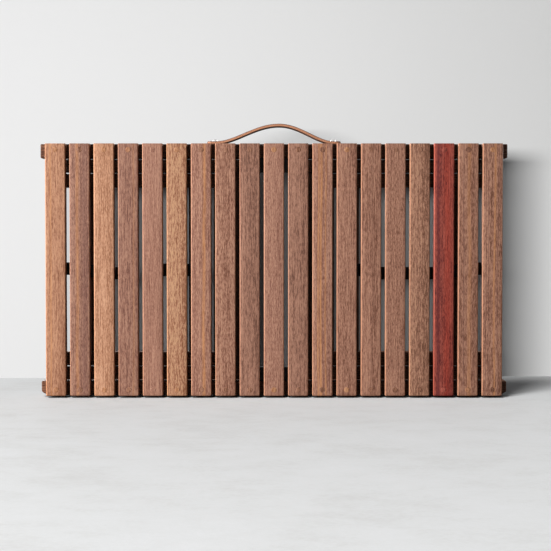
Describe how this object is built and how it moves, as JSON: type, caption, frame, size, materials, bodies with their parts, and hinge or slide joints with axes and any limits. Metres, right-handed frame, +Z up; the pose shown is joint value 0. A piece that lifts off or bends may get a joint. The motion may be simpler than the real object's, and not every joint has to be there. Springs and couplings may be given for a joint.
{
  "type": "folding slatted table",
  "caption": "Portable slatted wooden table on crossing leg frames that fold flat between its rails, with a leather carrying handle on one long edge.",
  "frame": {"origin": "under the middle of the folded table, at the height of the long edge that it stands on", "axes": "+X along the table's length, +Z up along the slats towards the handle, -Y out of the slats' faces, so that the folded legs are on the +Y side"},
  "size_m": [0.928, 0.0546, 0.5403],
  "materials": {
    "walnut_slats": "oiled walnut, satin",
    "red_slat": "oiled red hardwood, satin",
    "walnut_frame": "oiled dark walnut, satin",
    "leather": "vegetable-tanned brown leather, semi-matt",
    "steel": "zinc-plated steel",
    "black_webbing": "woven black webbing",
    "black_rubber": "matt black rubber"
  },
  "bodies": {
    "tabletop": {"slat_01": "walnut_slats", "slat_02": "walnut_slats", "slat_03": "walnut_slats", "slat_04": "walnut_slats", "slat_05": "walnut_slats", "slat_06": "walnut_slats", "slat_07": "walnut_slats", "slat_08": "walnut_slats", "slat_09": "walnut_slats", "slat_10": "walnut_slats", "slat_11": "walnut_slats", "slat_12": "walnut_slats", "slat_13": "walnut_slats", "slat_14": "walnut_slats", "slat_15": "walnut_slats", "slat_16": "walnut_slats", "slat_17": "red_slat", "slat_18": "walnut_slats", "slat_19": "walnut_slats", "rail_upper": "walnut_frame", "rail_lower": "walnut_frame", "handle_strap": "leather", "handle_screw_left": "steel", "handle_screw_right": "steel", "leg_catch_upper": "black_rubber", "leg_catch_lower": "black_rubber", "left_rail_pivot_upper": "steel", "left_rail_pivot_lower": "steel", "right_rail_pivot_upper": "steel", "right_rail_pivot_lower": "steel", "left_tie_strap_outer": "black_webbing", "left_tie_strap_inner": "black_webbing", "right_tie_strap_outer": "black_webbing", "right_tie_strap_inner": "black_webbing", "left_tie_screw_outer": "steel", "left_tie_screw_inner": "steel", "right_tie_screw_outer": "steel", "right_tie_screw_inner": "steel"},
    "left_outer_frame": {"left_outer_leg_upper": "walnut_frame", "left_outer_leg_lower": "walnut_frame", "left_outer_foot_bar": "walnut_frame", "left_cross_pivot_upper": "steel", "left_cross_pivot_lower": "steel"},
    "left_inner_frame": {"left_inner_leg_upper": "walnut_frame", "left_inner_leg_lower": "walnut_frame", "left_inner_top_bar": "walnut_frame", "left_inner_brace_bar": "walnut_frame", "left_inner_foot_bar": "walnut_frame"},
    "right_outer_frame": {"right_outer_leg_upper": "walnut_frame", "right_outer_leg_lower": "walnut_frame", "right_outer_foot_bar": "walnut_frame", "right_cross_pivot_upper": "steel", "right_cross_pivot_lower": "steel"},
    "right_inner_frame": {"right_inner_leg_upper": "walnut_frame", "right_inner_leg_lower": "walnut_frame", "right_inner_top_bar": "walnut_frame", "right_inner_brace_bar": "walnut_frame", "right_inner_foot_bar": "walnut_frame"}
  },
  "joints": [
    {"name": "left_legs_unfold", "type": "hinge", "parent": "tabletop", "child": "left_outer_frame", "pos_m": [-0.405, 0.00547, 0.25], "axis": [0, 0, 1], "range_deg": [0, 60]},
    {"name": "left_legs_cross", "type": "hinge", "parent": "left_outer_frame", "child": "left_inner_frame", "pos_m": [-0.255, 0.00547, 0.25], "axis": [0, 0, 1], "range_deg": [-120, 0]},
    {"name": "right_legs_unfold", "type": "hinge", "parent": "tabletop", "child": "right_outer_frame", "pos_m": [0.405, 0.00547, 0.25], "axis": [0, 0, -1], "range_deg": [0, 60]},
    {"name": "right_legs_cross", "type": "hinge", "parent": "right_outer_frame", "child": "right_inner_frame", "pos_m": [0.255, 0.00547, 0.25], "axis": [0, 0, -1], "range_deg": [-120, 0]}
  ],
  "couplings": [
    {"joint": "left_legs_cross", "follows": "left_legs_unfold", "ratio": -2},
    {"joint": "right_legs_cross", "follows": "right_legs_unfold", "ratio": -2}
  ]
}
